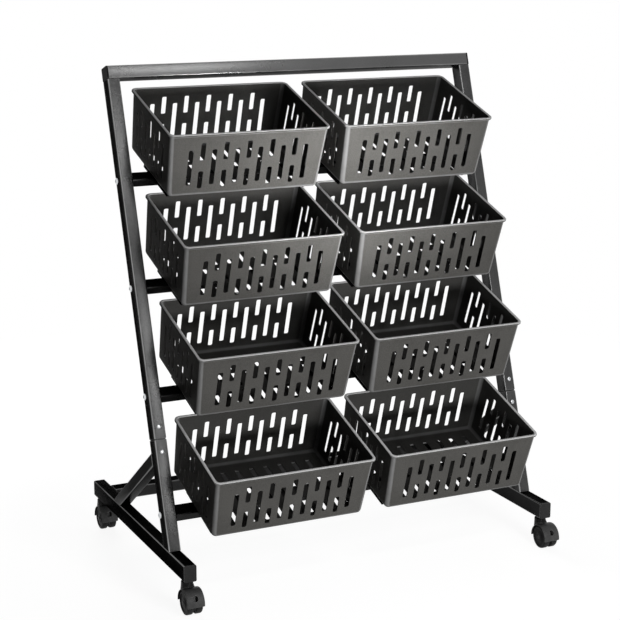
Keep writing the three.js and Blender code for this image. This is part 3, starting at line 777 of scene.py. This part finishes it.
def housing_mesh():
    """Hood, web, boss and axle as one moulding."""
    stem = middle(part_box("caster_stem_front_left"))
    _, housing_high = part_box("caster_housing_front_left")
    wheel = middle(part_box("caster_wheel_front_left_left"))
    boss = boss_mesh(stem[1] - wheel[1], housing_high[2] - WHEEL_RADIUS)
    housing = hood_mesh()
    for part in (web_mesh(), boss, axle_mesh()):
        housing = combined_mesh(housing, part, "UNION", "caster_hood")
    smooth(housing, TURNED_SOFT_ANGLE)
    return housing


def wheel_mesh():
    """A wheel with its outer face at +X: rounded tread, ring groove, dish, hub and bore."""
    half = WHEEL_WIDE / 2
    bore = AXLE_RADIUS + BORE_GAP
    profile = [(bore, -half)]
    profile += [(radius, depth - half) for radius, depth in INNER_FACE]
    profile += [(WHEEL_RADIUS - drop, depth - half) for drop, depth in INNER_RIM]
    profile += [(WHEEL_RADIUS - drop, half - depth) for drop, depth in OUTER_RIM]
    profile += [(radius, half - depth) for radius, depth in GROOVE + DISH]
    profile += [(bore + BORE_SOFT_WIDE, half), (bore, half - BORE_SOFT_DEEP), (bore, -half)]
    wheel = lathe(profile, WHEEL_STEPS, "wheel")
    smooth(wheel, TURNED_SOFT_ANGLE)
    return wheel


def build_casters():
    """Four casters, all from one housing and one wheel."""
    wheel, housing = wheel_mesh(), housing_mesh()
    for corner in CASTERS:
        left_low, left_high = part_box(f"caster_wheel_{corner}_left")
        _, right_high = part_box(f"caster_wheel_{corner}_right")
        axle_x, axle_y = (left_low[0] + right_high[0]) / 2, (left_low[1] + left_high[1]) / 2
        node = f"caster_housing_{corner}"
        place = Matrix.Translation((axle_x, axle_y, WHEEL_RADIUS))
        piece(f"hood_{corner}", housing, place, CASTER, node, (node,))
        for side, sign in SIDES:
            name, node = f"wheel_{corner}_{side}", f"caster_wheel_{corner}_{side}"
            place = Matrix.Translation((middle(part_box(node))[0], axle_y, WHEEL_RADIUS))
            piece(name, wheel, place @ facing(sign), WHEEL, node, (node,))


# bolts
def bolt_mesh(head_radius, head_tall, shank_radius, shank_long, name):
    """A button-head bolt along +X with a hexagon socket; its head starts at x = 0."""
    crown = [(head_radius * cosine, head_tall * (CROWN_EDGE_SHARE + (1 - CROWN_EDGE_SHARE) * sine))
             for sine, cosine in arc_steps(CROWN_STEPS)]
    profile = [(0, -shank_long), (shank_radius, -shank_long), (shank_radius, 0), (head_radius, 0)]
    profile += [(radius, along) for radius, along in crown if radius > head_radius * CROWN_TIP_SHARE]
    profile.append((0, head_tall))
    bm = bmesh.new()
    socket_radius = head_radius * SOCKET_RADIUS_SHARE
    socket = [about_x(head_tall, socket_radius, math.pi / 3 * corner) for corner in range(6)]
    add_prism(bm, socket, (1, 0, 0), head_tall * SOCKET_CUT_SHARE)
    mesh = cut_mesh(lathe(profile, BOLT_STEPS, "bolt"), mesh_from(bm, "socket"), name)
    smooth(mesh, TURNED_SOFT_ANGLE)
    return mesh


def build_side_bolts():
    """The crossbars' bolts, their heads on the uprights' outer sides."""
    mesh = bolt_mesh(*SIDE_BOLT, "side_bolt")
    head_tall = SIDE_BOLT[1]
    for row in ROWS:
        for side, sign in SIDES:
            node = f"crossbar_bolt_{row}_{side}"
            low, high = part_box(node)
            head_seat = low[0] + head_tall if sign < 0 else high[0] - head_tall
            place = Matrix.Translation((head_seat, (low[1] + high[1]) / 2, (low[2] + high[2]) / 2))
            piece(f"bolt_{row}_{side}", mesh, place @ facing(sign), ZINC, "frame", (node,))


def build_joint_bolts():
    """The bolts through the uprights' front faces into their sleeves."""
    mesh = bolt_mesh(*JOINT_BOLT, "joint_bolt")
    head_tall = JOINT_BOLT[1]
    forwards = Matrix.Rotation(-math.pi / 2, 4, "Z")
    for where in ("lower", "upper"):
        for side, _ in SIDES:
            node = f"joint_bolt_{where}_{side}"
            matrix, size = local_frame(node, -LEAN)
            place = matrix @ Matrix.Translation((0, -size.y / 2 + head_tall, size.z / 2)) @ forwards
            piece(f"sleeve_bolt_{where}_{side}", mesh, place, ZINC, "frame", (node,))


# carried CAD nodes
def dress_frame():
    for name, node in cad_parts.items():
        if name.startswith("top_bar_end"):
            dress(node, CAP)
        elif name.startswith("rail_end"):
            dress(node, RAIL_CAP)
        elif name.startswith("caster_stem"):
            dress(node, STEEL)
        elif not name.startswith(("basket_", "caster_", "crossbar_bolt", "joint_bolt")):
            dress(node, PAINT)


# stage
def seen_by_camera(nodes, links, seen, unseen):
    """Mixes two shaders: one that is seen, also in reflections, and one that lights the object."""
    path = add_node(nodes, "ShaderNodeLightPath")
    seen_rays = path.outputs["Is Camera Ray"]
    for name in ("Is Glossy Ray", "Is Transmission Ray"):
        seen_rays = maths(nodes, links, "MAXIMUM", seen_rays, path.outputs[name])
    return mixed_shaders(nodes, links, seen_rays, unseen, seen)


def build_stage():
    """A plain floor: white to the camera, with the rack's faint shadow, and darker in what it lights."""
    bm = bmesh.new()
    bmesh.ops.create_grid(bm, x_segments=1, y_segments=1, size=FLOOR_REACH)
    floor = new_object("floor", mesh_from(bm, "floor"))
    material, nodes, links, shader = node_material("floor_white")
    nodes.remove(shader)
    pale = add_node(nodes, "ShaderNodeBsdfDiffuse", Color=grey(FLOOR_TONE))
    glow = add_node(nodes, "ShaderNodeEmission")
    bounce = add_node(nodes, "ShaderNodeBsdfDiffuse", Color=grey(BOUNCE_TONE))
    coordinates = add_node(nodes, "ShaderNodeTexCoord")
    away = vector_maths(nodes, links, "LENGTH", coordinates.outputs["Object"]).outputs["Value"]
    share = fade(nodes, links, away, FADE_START, FADE_END, low=SHARE_NEAR)
    links.new(fade(nodes, links, away, FADE_START, FADE_END, low=GLOW_NEAR), glow.inputs["Strength"])
    seen = mixed_shaders(nodes, links, share, pale.outputs["BSDF"], glow.outputs["Emission"])
    surface = seen_by_camera(nodes, links, seen, bounce.outputs["BSDF"])
    links.new(surface, nodes["Material Output"].inputs["Surface"])
    dress(floor, material)


def build_room():
    """A white background round a dim room."""
    world = bpy.data.worlds.new("studio")
    bpy.context.scene.world = world
    world.use_nodes = True
    nodes, links = world.node_tree.nodes, world.node_tree.links
    room = nodes["Background"]
    room.inputs["Color"].default_value = grey(1.0)
    room.inputs["Strength"].default_value = ROOM_STRENGTH
    white = add_node(nodes, "ShaderNodeBackground", Color=grey(1.0), Strength=1.0)
    surface = seen_by_camera(nodes, links, white.outputs["Background"], room.outputs["Background"])
    links.new(surface, nodes["World Output"].inputs["Surface"])


def area_light(name, place, target, size, power, spread=180, mirrored=True):
    """A soft rectangular lamp in watts; one that isn't mirrored doesn't show in what shines."""
    data = bpy.data.lights.new(name, "AREA")
    data.shape = "RECTANGLE"
    data.size, data.size_y = size
    data.energy = power
    data.spread = math.radians(spread)
    lamp = bpy.data.objects.new(name, data)
    lamp.visible_camera = False
    lamp.visible_glossy = mirrored
    bpy.context.scene.collection.objects.link(lamp)
    lamp.matrix_world = aimed(place, target)


def build_lights():
    """A low wide lamp for the fronts, two that the paint mirrors, and three that fill in."""
    area_light("front", (0.2, -3.2, 0.15), (0.05, 0, 0.7), size=(1.2, 0.3), power=74, mirrored=False)
    area_light("centre", (0.0, -0.75, 0.75), (0.0, -0.05, 1.15), size=(0.2, 0.2), power=2.2, spread=80)
    area_light("upright_key", (0.25, -2.2, 0.95), (-0.45, -0.2, 0.4), size=(0.4, 0.9), power=7.5)
    area_light("bar_key", (0.2, -2.2, 2.73), (-0.4, 0.1, 1.25), size=(1.1, 0.26), power=11)
    area_light("overhead", (0.95, 1.1, 2.6), (0, -0.2, 0.8), size=(2.0, 1.2), power=7)
    area_light("rear", (0.0, 2.8, 1.1), (0.0, 0.2, 0.8), size=(1.6, 0.8), power=30, mirrored=False)


def aimed(place, target):
    """Matrix of a lamp or camera at a place, looking at a target."""
    aim = Vector(target) - Vector(place)
    return Matrix.Translation(place) @ aim.to_track_quat("-Z", "Y").to_matrix().to_4x4()


def build_camera():
    data = bpy.data.cameras.new("camera")
    data.lens = CAMERA_LENS_MM
    data.sensor_width = SENSOR_MM
    data.clip_end = CAMERA_REACH
    camera = bpy.data.objects.new("camera", data)
    bpy.context.scene.collection.objects.link(camera)
    camera.matrix_world = aimed(CAMERA_PLACE, CAMERA_TARGET)
    bpy.context.scene.camera = camera


bpy.context.scene.view_settings.view_transform = "Standard"
build_camera()
build_room()
build_lights()
build_stage()
dress_frame()
build_baskets()
build_tubes()
build_casters()
build_side_bolts()
build_joint_bolts()
